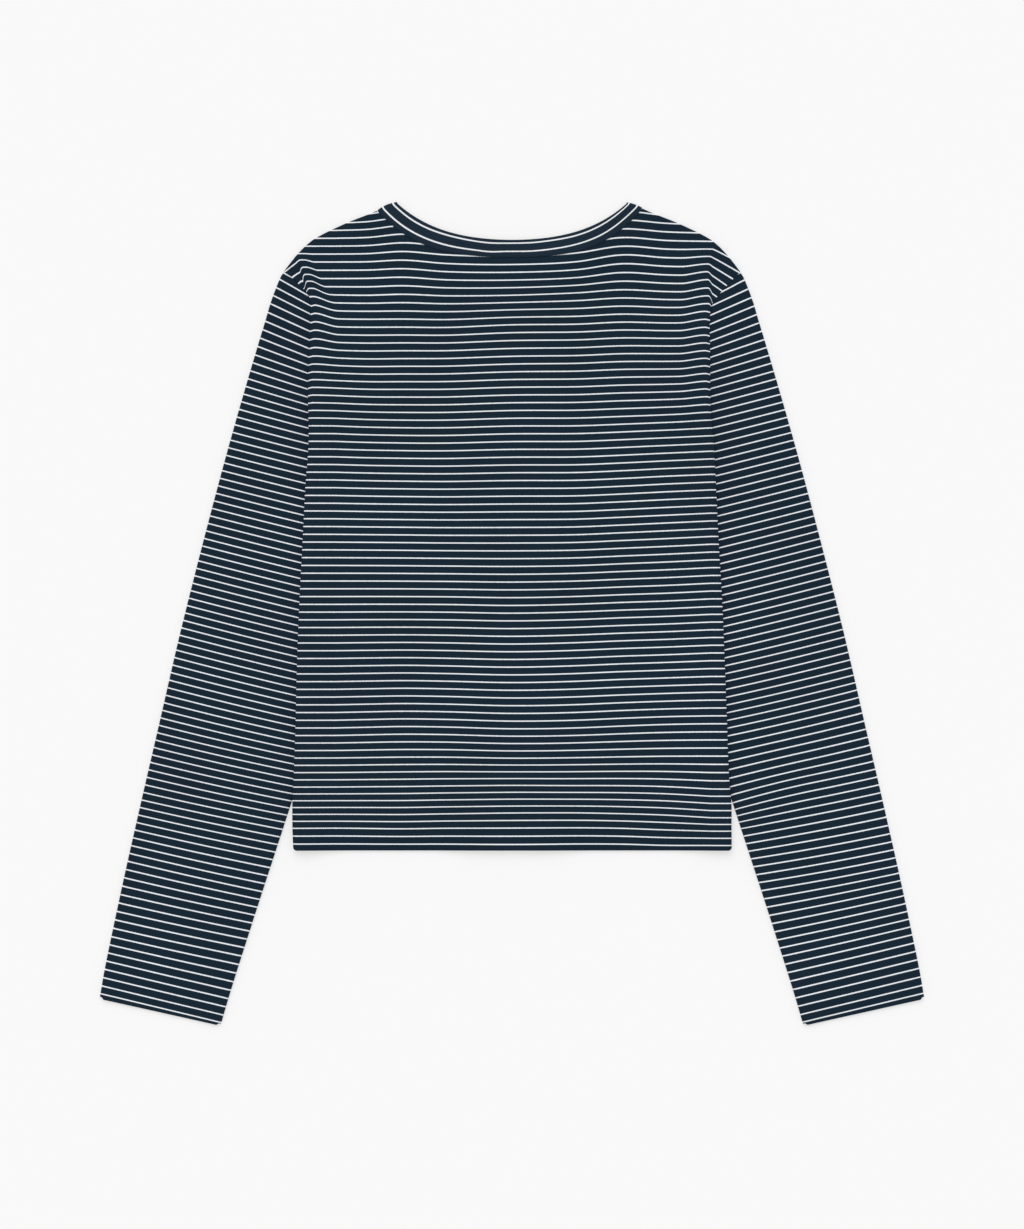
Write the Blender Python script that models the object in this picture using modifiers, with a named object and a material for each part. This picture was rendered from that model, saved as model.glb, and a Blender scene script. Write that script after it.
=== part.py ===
"""A fine striped jersey cardigan, laid flat on its front with its back up.

Frame: metres, +Z up. The origin is on the floor under the middle of the
garment, +Y runs towards the neck and -Y towards the hem, and +X is the
wearer's right. The fronts, the sleeves and the buttons rest on the floor, the
back lies over them, and the sleeves are tucked under the sides of the body.
"""
import math

import bmesh
import bpy

MM = 0.001

# ---- driving dimensions -------------------------------------------------
WALL = 1.0 * MM                 # jersey, with its turned edges
GAP = 0.3 * MM                  # between pieces at a seam and between layers
LAYER = WALL + GAP              # rise from one layer to the next
FOLD_RADIUS = LAYER / 2         # middle of the cloth at a folded edge
EDGE_ROUND = 0.3 * MM           # softened rim of a panel

HEM_Y = -193.2 * MM
SHOULDER_TIP_Y = 281.0 * MM
UNDERARM_Y = 147.0 * MM

# The neck: the band's upper edge and its seam on the back are both the curve
# y = low + rise2 * x^2 + rise4 * x^4, from the middle out to the shoulder fold.
NECK_EDGE = {"low": 0.3072, "rise2": 2.047, "rise4": 149.7, "end_x": 0.0935}
NECK_SEAM = {"low": 0.2929, "rise2": 1.184, "rise4": 160.1, "end_x": 0.1093}
FRONT_NECK_Y = 257.2 * MM       # top of the band at the centre front
FRONT_SEAM_Y = 242.9 * MM       # seam of the band at the centre front

BAND_HALF_WIDTH = 7.5 * MM      # of the two strips down the centre front
BUTTON_RADIUS = 5.5 * MM
BUTTON_THICKNESS = 1.6 * MM
BUTTON_COUNT = 7
TOP_BUTTON_Y = 250.0 * MM
BOTTOM_BUTTON_Y = -170.0 * MM

# How far a piece is lifted where something lies under it.
BUTTON_LIFT = BUTTON_THICKNESS + GAP            # outer band over the buttons
INNER_BAND_LIFT = BUTTON_LIFT + LAYER           # inner band over the outer one
SLEEVE_LIFT = 2 * LAYER                         # body over both sleeve layers

# How far past that thing a piece stays level, and then how far it eases off.
FRONT_BY_SLEEVE = (14.0 * MM, 18.0 * MM)
BACK_BY_SLEEVE = (24.0 * MM, 36.0 * MM)
BACK_BY_ARMHOLE = (14.0 * MM, 22.0 * MM)
FRONT_BY_BANDS = (14.0 * MM, 22.0 * MM)
BACK_BY_BANDS = (22.0 * MM, 46.0 * MM)
RIDGE_TOP_Y = 308.0 * MM        # the back is level again at its neck edge
RIDGE_FADE = 44.0 * MM
BLEND_POWER = 6                 # how crisply the back's lifts are joined

# Side edge of the body and armhole, bottom to top: height and half width.
BODY_SIDE = (
    # (y, half_width) in millimetres
    (-193.2, 179.6), (-152.0, 179.2), (-120.0, 177.9), (-87.0, 176.4),
    (-54.0, 175.3), (-21.0, 174.3), (12.0, 173.0), (44.5, 171.4),
    (77.0, 169.8), (110.0, 168.0), (130.0, 166.6), (147.0, 165.5),
    (160.0, 165.0), (180.0, 164.6), (200.0, 164.4), (220.0, 164.0),
    (240.0, 163.8), (259.3, 164.4), (270.0, 175.4), (281.0, 187.0),
)
ARMHOLE_CORNER_Y = 259.3 * MM   # where the seam turns out to the shoulder tip
ARMHOLE_EASE = 14.0 * MM        # below the corner, where the back's edge lifts

# The sleeve head lies edge to edge with the back above the corner, and laps
# under its edge below. At the underarm it is drawn further in, where the front
# is already lifted over it.
TUCK = 2.2 * MM
TUCK_DROP = 22.0 * MM           # from the corner down to where it starts
TUCK_EASE = 10.0 * MM
UNDERARM_TUCK = 7.3 * MM
UNDERARM_REACH = 12.0 * MM      # height over which it is drawn in
SEAM_GAP = 1.5 * GAP            # across the slanting seam, measured along x

# The shoulder fold, from the neckband's seam out to the tip.
SHOULDER = (
    # (x, y) in millimetres
    (110.7, 330.8), (120.5, 327.1), (130.8, 323.3), (145.6, 316.7),
    (158.5, 309.6), (168.0, 303.2), (175.0, 296.3), (187.0, 281.0),
)

# The sleeve, cuff to armhole: its outer fold and its inner fold.
SLEEVE_FOLDS = (
    # (outer_x, outer_y, inner_x, inner_y) in millimetres
    (338.2, -315.5, 239.0, -337.6),
    (332.5, -283.5, 229.8, -306.0),
    (318.6, -217.9, 209.4, -242.0),
    (303.8, -152.3, 188.4, -177.6),
    (288.6, -86.7, 167.8, -114.0),
    (273.5, -21.1, 147.2, -50.0),
    (257.1, 44.5, 128.0, 9.0),
    (239.9, 110.1, 114.5, 62.0),
    (226.3, 159.3, 115.5, 92.0),
    (212.0, 208.5, 131.0, 116.0),
    (202.1, 241.3, 143.0, 127.0),
    (197.2, 257.7, 149.0, 134.5),
    (190.6, 274.8, 153.5, 141.5),
    (187.45, 281.0, 156.0, 147.0),
)


# ---- small helpers ------------------------------------------------------
def smooth_step(t):
    """0 below 0, 1 above 1, and an even S-curve between."""
    t = min(max(t, 0.0), 1.0)
    return t * t * (3.0 - 2.0 * t)


def along(rows, value, key=0, result=1):
    """Read a column of a table of millimetres at a value of another column."""
    value = value / MM
    for low, high in zip(rows, rows[1:]):
        if value <= high[key]:
            break
    share = (value - low[key]) / (high[key] - low[key])
    share = min(max(share, 0.0), 1.0)
    return (low[result] + share * (high[result] - low[result])) * MM


def mix(a, b, share):
    """The point a given share of the way from a to b."""
    return tuple(p + (q - p) * share for p, q in zip(a, b))


def curve_height(curve, x):
    """Height of one of the back neck's two curves."""
    return curve["low"] + curve["rise2"] * x ** 2 + curve["rise4"] * x ** 4


def distance_to_path(x, y, path):
    """Shortest distance in plan from a point to a chain of points."""
    best = 1.0
    for (ax, ay), (bx, by) in zip(path, path[1:]):
        dx, dy = bx - ax, by - ay
        share = ((x - ax) * dx + (y - ay) * dy) / (dx * dx + dy * dy)
        share = min(max(share, 0.0), 1.0)
        best = min(best, math.hypot(x - ax - share * dx, y - ay - share * dy))
    return best


# ---- how the layers lie on each other -----------------------------------
INNER_FOLD = [(row[2] * MM, row[3] * MM) for row in SLEEVE_FOLDS]


def eased(lift, distance, reach):
    """A lift that stays level over reach[0] and falls to nothing over reach[1]."""
    level, ease = reach
    return lift * smooth_step(1.0 - (distance - level) / ease)


def over_sleeve(x, y, reach):
    """Lift of the body where a sleeve is tucked under it, easing off inwards."""
    x = abs(x)
    if y < UNDERARM_Y and x > along(SLEEVE_FOLDS, y, key=3, result=2):
        return SLEEVE_LIFT
    return eased(SLEEVE_LIFT, distance_to_path(x, y, INNER_FOLD), reach)


def over_armhole(x, y):
    """Lift of the back's edge where it turns over the sleeve head."""
    start = ARMHOLE_CORNER_Y + 0.2 * ARMHOLE_EASE
    below_corner = smooth_step((start - y) / ARMHOLE_EASE)
    inward = along(BODY_SIDE, y) - abs(x)
    return below_corner * eased(LAYER, inward, BACK_BY_ARMHOLE)


def front_right_lift(x, y):
    bands = eased(BUTTON_LIFT, abs(x), FRONT_BY_BANDS)
    return max(over_sleeve(x, y, FRONT_BY_SLEEVE), bands)


def front_left_lift(x, y):
    bands = eased(INNER_BAND_LIFT, abs(x), FRONT_BY_BANDS)
    return max(over_sleeve(x, y, FRONT_BY_SLEEVE), bands)


def back_lift(x, y):
    """The back's lifts, blended so that it has no crease where two meet."""
    ridge = smooth_step((RIDGE_TOP_Y - y) / RIDGE_FADE)
    lifts = (
        over_sleeve(x, y, BACK_BY_SLEEVE),
        over_armhole(x, y),
        ridge * eased(INNER_BAND_LIFT, abs(x), BACK_BY_BANDS),
    )
    return LAYER + sum(lift ** BLEND_POWER for lift in lifts) ** (1 / BLEND_POWER)


# ---- materials and objects ----------------------------------------------
NAVY = (0.014, 0.024, 0.038)
DARK_PLASTIC = (0.012, 0.016, 0.024)


def surface(name, colour, roughness):
    """A plain Principled finish."""
    made = bpy.data.materials.new(name)
    made.use_nodes = True
    shader = made.node_tree.nodes["Principled BSDF"]
    shader.inputs["Base Color"].default_value = (*colour, 1.0)
    shader.inputs["Roughness"].default_value = roughness
    shader.inputs["Metallic"].default_value = 0.0
    return made


def jersey(piece):
    return surface(piece + " jersey", NAVY, 0.9)


def finish(name, bm, collection, material):
    """Turn a bmesh into a named, smooth-shaded object."""
    mesh = bpy.data.meshes.new(name)
    bm.to_mesh(mesh)
    bm.free()
    obj = bpy.data.objects.new(name, mesh)
    mesh.materials.append(material)
    mesh.shade_smooth()
    collection.objects.link(obj)
    return obj


def thicken(obj):
    """Give a sheet its wall, half to each side, and soften its rims."""
    wall = obj.modifiers.new("Wall", "SOLIDIFY")
    wall.thickness = WALL
    wall.offset = 0.0
    rim = obj.modifiers.new("Rim", "BEVEL")
    rim.width = EDGE_ROUND
    rim.segments = 1
    rim.limit_method = "ANGLE"
    rim.angle_limit = math.radians(60)
    return obj


def face_up(bm):
    """Turn a flat sheet so that its faces look up."""
    bmesh.ops.recalc_face_normals(bm, faces=bm.faces)
    if sum(face.normal.z for face in bm.faces) < 0:
        bmesh.ops.reverse_faces(bm, faces=bm.faces)


def mapped_grid(columns, rows, place):
    """A grid whose vertex (column, row) is moved to place(column, row)."""
    bm = bmesh.new()
    bmesh.ops.create_grid(bm, x_segments=columns, y_segments=rows, size=0.5)
    for vert in bm.verts:
        column = round((vert.co.x + 0.5) * columns)
        row = round((vert.co.y + 0.5) * rows)
        vert.co = place(column, row)
    return bm


# ---- body panels --------------------------------------------------------
# Columns from the centre to the side, as shares of the half hem; the first
# ones end on the neck seam and the last ones on the shoulder.
NECK_COLUMNS = 8
SHOULDER_COLUMNS = len(SHOULDER) - 1
HALF_COLUMNS = NECK_COLUMNS + SHOULDER_COLUMNS
SIDE_ROWS = len(BODY_SIDE) - 1
SIDE_BOW = 4                    # power with which a bow of the side dies inwards


def tucked(y):
    """0 where back and sleeve are seamed edge to edge, 1 where one laps over."""
    return smooth_step((ARMHOLE_CORNER_Y - TUCK_DROP - y) / TUCK_EASE)


def front_edge_inset(y):
    """How far the front's armhole edge stands back behind the back's edge."""
    above_underarm = smooth_step((y - UNDERARM_Y) / UNDERARM_REACH)
    return (TUCK + GAP) * tucked(y) * above_underarm


def no_inset(y):
    return 0.0


def panel_sheet(inner_x, top_point, lift, inset=no_inset):
    """Half a body panel, between its inner edge and its side edge.

    inner_x is the x of the inner edge, top_point(share) a point of the neck
    seam from that edge out to the shoulder, lift(x, y) the sheet's rise, and
    inset(y) how far its side edge stands back.
    """
    tip_x = BODY_SIDE[-1][1] * MM
    hem_end = BODY_SIDE[0][1] * MM

    def top(column):
        if column <= NECK_COLUMNS:
            return top_point(column / NECK_COLUMNS)
        x, y = SHOULDER[column - NECK_COLUMNS]
        return (x * MM, y * MM)

    def place(column, row):
        height, half_width = BODY_SIDE[row]
        v = (height * MM - HEM_Y) / (SHOULDER_TIP_Y - HEM_Y)
        top_here = top(column)
        share = (top_here[0] - inner_x) / (tip_x - inner_x)
        u = (column / HALF_COLUMNS + share) / 2
        hem_x = inner_x + u * (hem_end - inner_x)
        x, y = mix((hem_x, HEM_Y), top_here, v)
        # the side edge bows away from a straight line, its neighbours less so
        edge_x = half_width * MM - inset(height * MM)
        straight_x = hem_end + v * (tip_x - hem_end)
        x += (edge_x - straight_x) * u ** SIDE_BOW
        return (x, y, WALL / 2 + lift(x, y))

    return mapped_grid(HALF_COLUMNS, SIDE_ROWS, place)


def back_neck_point(share):
    """The back's neck edge, one seam gap outside the band's seam."""
    x = NECK_SEAM["end_x"] * share
    slope = math.atan(2 * NECK_SEAM["rise2"] * x + 4 * NECK_SEAM["rise4"] * x ** 3)
    return (x + GAP * math.sin(slope), curve_height(NECK_SEAM, x) - GAP * math.cos(slope))


def front_neck_angle(share, wide):
    """Angle round the front neck's ellipse, from the front edge to the shoulder."""
    start = math.asin(BAND_HALF_WIDTH / wide)
    return start + (math.pi / 2 - start) * share


def front_neck_point(share):
    """The front's neck edge, a quarter ellipse from the centre front out."""
    wide = NECK_SEAM["end_x"]
    top = curve_height(NECK_SEAM, wide)
    angle = front_neck_angle(share, wide)
    drop = top - FRONT_SEAM_Y + GAP
    x = max((wide + GAP) * math.sin(angle), BAND_HALF_WIDTH + GAP)
    return (x, top - drop * math.cos(angle))


def make_back(collection):
    bm = panel_sheet(0.0, back_neck_point, back_lift)
    half = bm.verts[:] + bm.edges[:] + bm.faces[:]
    bmesh.ops.mirror(bm, geom=half, axis="X", merge_dist=0.00005)
    face_up(bm)
    return thicken(finish("back", bm, collection, jersey("Back")))


def make_front(name, side, lift, collection):
    bm = panel_sheet(BAND_HALF_WIDTH + GAP, front_neck_point, lift, front_edge_inset)
    for vert in bm.verts:
        vert.co.x *= side
    face_up(bm)
    return thicken(finish(name, bm, collection, jersey(name)))


# ---- sleeves ------------------------------------------------------------
ACROSS = 8                      # faces across each flat layer
FOLD_STEPS = 3                  # points round each folded edge
SLEEVE_RINGS = 18
RING_SPREAD = 0.9               # below 1, rings are closer near the armhole
HEAD_START = 0.45               # share of the length where rows begin to curve
INNER_SWAY = 6                  # power: only the rows' inner ends follow that fold


def sleeve_folds(v):
    """Both folded edges at a share of the way from the cuff to the armhole."""
    place = v * (len(SLEEVE_FOLDS) - 1)
    index = min(int(place), len(SLEEVE_FOLDS) - 2)
    t = place - index
    a = SLEEVE_FOLDS[max(index - 1, 0)]
    b = SLEEVE_FOLDS[index]
    c = SLEEVE_FOLDS[index + 1]
    d = SLEEVE_FOLDS[min(index + 2, len(SLEEVE_FOLDS) - 1)]
    row = []
    for p, q, r, s in zip(a, b, c, d):
        bend = (2 * p - 5 * q + 4 * r - s) * t + (3 * q - p - 3 * r + s) * t * t
        row.append((q + 0.5 * t * ((r - p) + bend)) * MM)
    return (row[0], row[1]), (row[2], row[3])


def fold_normals(v):
    """Unit vectors in plan that point out of the sleeve at its two folds."""
    step = 0.5 / SLEEVE_RINGS
    lower = sleeve_folds(max(v - step, 0.0))
    upper = sleeve_folds(min(v + step, 1.0))
    normals = []
    for (ax, ay), (bx, by), side in zip(lower, upper, (1, -1)):
        length = side * math.dist((ax, ay), (bx, by))
        normals.append(((by - ay) / length, (ax - bx) / length))
    return normals


def armhole_point(share):
    """The sleeve's mouth, from the shoulder tip to the underarm.

    Its points stand at the same heights as the body's side rows.
    """
    height, half_width = BODY_SIDE[-1 - round(share * ACROSS)]
    y = height * MM
    inwards = (TUCK + SEAM_GAP) * tucked(y)
    inwards += UNDERARM_TUCK * smooth_step(1.0 - (y - UNDERARM_Y) / UNDERARM_REACH)
    return (half_width * MM + SEAM_GAP - inwards, y)


def sleeve_point(share, v):
    """A point in plan on a sleeve layer: share runs outer fold to inner.

    Near the armhole the rows follow its curve, further down they are straight.
    """
    outer, inner = sleeve_folds(v)
    straight = mix(outer, inner, share)
    tip, underarm = armhole_point(0.0), armhole_point(1.0)
    mouth = armhole_point(share)
    near_inner = share ** INNER_SWAY
    curved = []
    for axis in (0, 1):
        from_tip = outer[axis] - tip[axis]
        from_underarm = inner[axis] - underarm[axis]
        curved.append(mouth[axis] + mix((from_tip,), (from_underarm,), near_inner)[0])
    return mix(straight, curved, smooth_step((v - HEAD_START) / HEAD_START))


def make_sleeve(name, side, collection):
    """A flattened tube: upper layer, inner fold, lower layer, outer fold."""
    stations = []
    for step in range(ACROSS + 1):
        stations.append((step / ACROSS, 0.0))
    for step in range(1, FOLD_STEPS + 1):
        stations.append((1.0, step / (FOLD_STEPS + 1)))
    for step in range(ACROSS + 1):
        stations.append((1.0 - step / ACROSS, 1.0))
    for step in range(1, FOLD_STEPS + 1):
        stations.append((0.0, 1.0 + step / (FOLD_STEPS + 1)))
    stations.append(stations[0])
    inset = FOLD_RADIUS + WALL / 2

    def place(column, row):
        share, turn = stations[column]
        v = (row / SLEEVE_RINGS) ** RING_SPREAD
        x, y = sleeve_point(share, v)
        angle = math.pi * turn
        z = WALL / 2 + FOLD_RADIUS * (1.0 + math.cos(angle))
        if share in (0.0, 1.0):
            # the flat layers stop short of the folds, which bulge back out
            reach = FOLD_RADIUS * abs(math.sin(angle)) - inset
            normal = fold_normals(v)[round(share)]
            x += reach * normal[0]
            y += reach * normal[1]
        return (x * side, y, z)

    bm = mapped_grid(len(stations) - 1, SLEEVE_RINGS, place)
    bmesh.ops.remove_doubles(bm, verts=bm.verts, dist=0.00001)
    bmesh.ops.recalc_face_normals(bm, faces=bm.faces)
    return thicken(finish(name, bm, collection, jersey(name)))


# ---- neckband -----------------------------------------------------------
FOLD_ANGLES = (45, 90, 135)     # rows round each shoulder fold, in degrees
FOLD_LEAN = 0.4                 # the fold's bulge points up and this much outwards


def neckband_rows():
    """Rows of (edge point, seam point) from the left front round to the right."""
    edge_end = (NECK_EDGE["end_x"], curve_height(NECK_EDGE, NECK_EDGE["end_x"]))
    seam_end = (NECK_SEAM["end_x"], curve_height(NECK_SEAM, NECK_SEAM["end_x"]))
    ends = ((edge_end, FRONT_NECK_Y), (seam_end, FRONT_SEAM_Y))
    half = []
    for step in range(-1, NECK_COLUMNS + 1):
        row = []
        for end, low in ends:
            angle = front_neck_angle(max(step, 0) / NECK_COLUMNS, end[0])
            if step < 0:
                angle = -angle
            x = end[0] * math.sin(angle)
            row.append((x, end[1] - (end[1] - low) * math.cos(angle), None))
        half.append(row)
    for angle in FOLD_ANGLES:
        out = FOLD_RADIUS * math.sin(math.radians(angle))
        z = WALL / 2 + FOLD_RADIUS * (1.0 - math.cos(math.radians(angle)))
        row = [(x + FOLD_LEAN * out, y + out, z) for x, y in (edge_end, seam_end)]
        half.append(row)
    back = []
    for step in range(NECK_COLUMNS + 1):
        share = 1.0 - step / NECK_COLUMNS
        row = []
        for curve in (NECK_EDGE, NECK_SEAM):
            x = curve["end_x"] * share
            row.append((x, curve_height(curve, x), "back"))
        back.append(row)
    return half + back


def make_neckband(collection):
    right = neckband_rows()
    left = [row for row in reversed(right[:-1])]
    rows = [(row, 1) for row in right] + [(row, -1) for row in left]

    def place(column, index):
        row, side = rows[index]
        share = column / 2
        edge, seam = row
        x = edge[0] + (seam[0] - edge[0]) * share
        y = edge[1] + (seam[1] - edge[1]) * share
        if edge[2] is None:
            lift = front_right_lift if side > 0 else front_left_lift
            z = WALL / 2 + lift(x, y)
        elif edge[2] == "back":
            z = WALL / 2 + back_lift(x, y)
        else:
            z = edge[2]
        return (x * side, y, z)

    bm = mapped_grid(2, len(rows) - 1, place)
    bmesh.ops.recalc_face_normals(bm, faces=bm.faces)
    return thicken(finish("neckband", bm, collection, jersey("Neckband")))


# ---- centre front bands and buttons -------------------------------------
BAND_ROWS = 18


def make_band(name, lift, collection):
    top = FRONT_SEAM_Y - GAP

    def place(column, row):
        x = (column - 1) * BAND_HALF_WIDTH
        y = HEM_Y + (top - HEM_Y) * row / BAND_ROWS
        return (x, y, WALL / 2 + lift)

    bm = mapped_grid(2, BAND_ROWS, place)
    face_up(bm)
    return thicken(finish(name, bm, collection, jersey(name)))


BUTTON_PROFILE = (
    # (share of the radius, share of the thickness, downwards on the outside)
    (0.0, 1.0), (0.84, 1.0), (1.0, 0.72), (1.0, 0.30), (0.86, 0.0),
    (0.70, 0.06), (0.56, 0.34), (0.0, 0.34),
)
BUTTON_SIDES = 16


def make_button(name, y, collection, material):
    """A turned button face down: a raised rim round a sunk middle."""
    mesh = bpy.data.meshes.new(name)
    points = [(r * BUTTON_RADIUS, 0.0, h * BUTTON_THICKNESS) for r, h in BUTTON_PROFILE]
    edges = [(i, i + 1) for i in range(len(points) - 1)]
    mesh.from_pydata(points, edges, [])
    mesh.materials.append(material)
    obj = bpy.data.objects.new(name, mesh)
    obj.location = (0.0, y, 0.0)
    turn = obj.modifiers.new("Turn", "SCREW")
    turn.steps = BUTTON_SIDES
    turn.render_steps = BUTTON_SIDES
    turn.use_merge_vertices = True
    turn.merge_threshold = 0.00001
    turn.use_normal_calculate = True
    collection.objects.link(obj)
    return obj


# ---- the whole garment --------------------------------------------------
def build():
    for obj in list(bpy.data.objects):
        bpy.data.objects.remove(obj, do_unlink=True)
    cardigan = bpy.data.collections.new("cardigan")
    bpy.context.scene.collection.children.link(cardigan)

    make_back(cardigan)
    make_front("front_right", 1, front_right_lift, cardigan)
    make_front("front_left", -1, front_left_lift, cardigan)
    make_sleeve("sleeve_right", 1, cardigan)
    make_sleeve("sleeve_left", -1, cardigan)
    make_neckband(cardigan)
    make_band("buttonhole_band", BUTTON_LIFT, cardigan)
    make_band("button_band", INNER_BAND_LIFT, cardigan)

    plastic = surface("Button plastic", DARK_PLASTIC, 0.35)
    pitch = (TOP_BUTTON_Y - BOTTOM_BUTTON_Y) / (BUTTON_COUNT - 1)
    for number in range(BUTTON_COUNT):
        make_button(f"button_{number + 1}", TOP_BUTTON_Y - number * pitch, cardigan, plastic)


build()
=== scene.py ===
import math

import bmesh
import bpy
import mathutils
import numpy as np
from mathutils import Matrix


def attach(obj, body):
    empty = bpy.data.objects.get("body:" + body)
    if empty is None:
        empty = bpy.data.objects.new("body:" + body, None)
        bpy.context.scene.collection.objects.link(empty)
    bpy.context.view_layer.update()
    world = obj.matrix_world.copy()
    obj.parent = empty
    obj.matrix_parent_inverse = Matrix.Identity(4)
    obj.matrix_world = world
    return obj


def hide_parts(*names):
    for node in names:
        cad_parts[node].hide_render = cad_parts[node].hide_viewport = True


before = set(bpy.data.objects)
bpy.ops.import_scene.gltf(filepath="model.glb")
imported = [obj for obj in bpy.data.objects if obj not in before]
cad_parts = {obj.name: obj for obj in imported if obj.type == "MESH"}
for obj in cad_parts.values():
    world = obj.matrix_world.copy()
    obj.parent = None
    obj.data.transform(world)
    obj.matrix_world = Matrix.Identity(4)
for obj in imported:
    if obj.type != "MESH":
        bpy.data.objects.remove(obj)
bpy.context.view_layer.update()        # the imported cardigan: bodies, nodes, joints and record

MM = 0.001

# ---- camera, light and floor ----------------------------------------------
# The photograph looks straight down on the cardigan as it lies on its front on a
# white ground, in soft light from all round, with only a little more from the neck end.
PIXEL = 0.82 * MM                       # one pixel of the photograph, at the floor
PHOTO_WIDTH, PHOTO_HEIGHT = 1024, 1229
ORIGIN_PIXEL = (512.0, 614.75)          # where the frame's origin lies in the photograph
CAMERA_HEIGHT = 4.0
SENSOR = 36.0

camera = bpy.data.objects.new("camera", bpy.data.cameras.new("camera"))
camera.data.sensor_width = SENSOR
camera.data.lens = SENSOR * CAMERA_HEIGHT / (PHOTO_HEIGHT * PIXEL)
camera.location = (
    (PHOTO_WIDTH / 2 - ORIGIN_PIXEL[0]) * PIXEL,
    (ORIGIN_PIXEL[1] - PHOTO_HEIGHT / 2) * PIXEL,
    CAMERA_HEIGHT,
)
bpy.context.collection.objects.link(camera)
bpy.context.scene.camera = camera
bpy.context.scene.view_settings.view_transform = "Standard"

SKY_SHARE = 0.72                        # of the light; the rest is a wide soft lamp
world = bpy.data.worlds.new("studio")
world.use_nodes = True
world.node_tree.nodes["Background"].inputs["Color"].default_value = (1.0, 1.0, 1.0, 1.0)
world.node_tree.nodes["Background"].inputs["Strength"].default_value = SKY_SHARE
bpy.context.scene.world = world

LAMP_TILT, LAMP_TURN = math.radians(38), math.radians(12)
lamp = bpy.data.objects.new("lamp", bpy.data.lights.new("lamp", "SUN"))
lamp.data.energy = math.pi * (1.0 - SKY_SHARE) / math.cos(LAMP_TILT)
lamp.data.angle = math.radians(50)
lamp.rotation_euler = (-LAMP_TILT, 0.0, LAMP_TURN)
bpy.context.collection.objects.link(lamp)


def placed_object(name, bm):
    """A finished bmesh as an object in the scene, at the origin."""
    mesh = bpy.data.meshes.new(name)
    bm.to_mesh(mesh)
    bm.free()
    made = bpy.data.objects.new(name, mesh)
    bpy.context.collection.objects.link(made)
    return made


FLOOR_WHITE = 0.947                     # the ground reads 249 of 255 in the photograph
FLOOR_GLOW = 0.55                       # share of that white that no shadow dims
bm = bmesh.new()
bmesh.ops.create_grid(bm, x_segments=1, y_segments=1, size=6.0)
bmesh.ops.translate(bm, verts=bm.verts, vec=(0.0, 0.0, -0.05 * MM))
floor = placed_object("floor", bm)
floor_material = bpy.data.materials.new("white ground")
floor_material.use_nodes = True
ground = floor_material.node_tree.nodes["Principled BSDF"]
matt = FLOOR_WHITE * (1.0 - FLOOR_GLOW)
ground.inputs["Base Color"].default_value = (matt, matt, matt, 1.0)
ground.inputs["Roughness"].default_value = 1.0
ground.inputs["Specular IOR Level"].default_value = 0.0
ground.inputs["Emission Color"].default_value = (1.0, 1.0, 1.0, 1.0)
ground.inputs["Emission Strength"].default_value = FLOOR_WHITE * FLOOR_GLOW
floor.data.materials.append(floor_material)

# ---- back -------------------------------------------------------------------
# One panel of single jersey in navy with a narrow white stripe, from hem to shoulder.
# Its hem is a turned edge and its sides turn down into the side seams. Neckband and
# sleeves are seamed to it, and below the armholes its sides lie over the sleeves.
WALL = 1.0 * MM
GAP = 0.3 * MM
LAYER = WALL + GAP
FOLD_RADIUS = LAYER / 2
HEM_Y = -193.2 * MM
TIP_Y = 281.0 * MM                      # shoulder tip
UNDERARM_Y = 147.0 * MM

SIDES = (
    # (y, left half width, right half width) in millimetres, measured in the photograph
    (-193.2, 179.2, 180.0), (-176.0, 179.8, 179.8), (-152.0, 179.8, 179.6),
    (-140.0, 179.2, 178.3), (-120.0, 178.3, 177.2), (-87.0, 177.2, 176.1),
    (-54.0, 176.4, 174.8), (-21.0, 175.4, 173.5), (12.0, 174.0, 172.1),
    (44.5, 172.3, 170.1), (77.0, 170.6, 168.4), (110.0, 168.8, 166.8), (130.0, 167.1, 165.9),
    (147.0, 166.4, 164.7), (160.0, 166.6, 163.2), (180.0, 167.0, 162.4),
    (200.0, 166.7, 162.2), (220.0, 165.6, 162.1), (240.0, 164.9, 162.0),
    (254.0, 164.9, 163.8), (260.0, 165.7, 167.6), (266.0, 169.8, 172.6),
    (271.0, 174.9, 177.4), (275.0, 178.6, 180.9), (278.0, 182.2, 184.0),
    (281.0, 187.0, 187.0),
)
SHOULDER_START = {-1: (110.7, 331.2), 1: (106.2, 333.3)}
SHOULDER = (
    # (x, y) in millimetres, from beside the neckband's seam out to the tip
    (116.5, 328.5), (122.6, 326.3), (130.8, 323.1), (138.0, 320.0),
    (145.6, 316.5), (152.5, 313.2), (158.7, 309.9), (163.5, 307.0), (167.7, 303.6),
    (171.3, 300.3), (174.3, 297.0), (177.3, 293.8), (180.0, 290.4), (183.5, 285.9),
    (187.1, 281.0),
)
# The neckband's edge and its seam on the back: y = low + rise2 x^2 + rise4 x^4. On the
# right (1) the band is turned further over the shoulder than on the left (-1).
NECK_EDGE = {"low": 0.3072, "rise2": 2.047, "rise4": 149.7, "end_x": 0.0935}
NECK_SEAM = {
    -1: {"low": 0.2929, "rise2": 1.184, "rise4": 160.1, "end_x": 0.1093},
    1: {"low": 0.2929, "rise2": 1.18, "rise4": 206.0, "end_x": 0.1060},
}
NECK_SHARE = 0.58                       # share of a half panel's columns below the neck

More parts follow.
